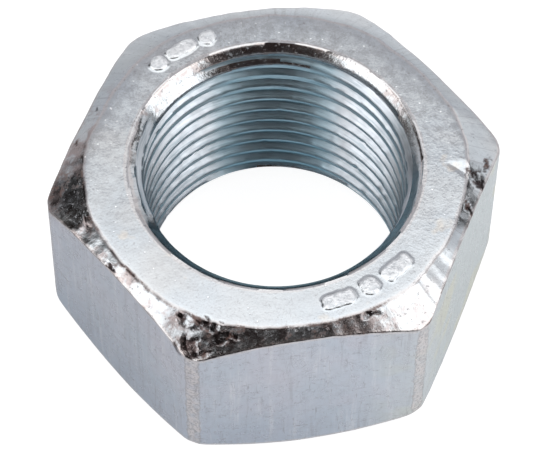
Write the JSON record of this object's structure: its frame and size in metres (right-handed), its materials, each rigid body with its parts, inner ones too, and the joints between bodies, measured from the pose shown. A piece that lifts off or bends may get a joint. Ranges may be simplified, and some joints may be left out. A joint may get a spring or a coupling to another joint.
{
  "type": "hex nut",
  "caption": "Fine-thread hex nut, chamfered on both faces, with a tapped through bore and raised dot-and-dash class marks, zinc plated.",
  "frame": {"origin": "centre of the lower bearing face, on the thread axis", "axes": "+Z along the thread axis towards the marked face, +X through a corner of the hexagon, so two wrench flats face +Y and -Y"},
  "size_m": [0.0362, 0.032, 0.0178],
  "materials": {
    "zinc_plated_steel": "bright blue-passivated zinc plating over forged steel, satin with fine speckle and scuffed edges"
  },
  "bodies": {
    "root": {"nut_body": "zinc_plated_steel"}
  },
  "joints": []
}
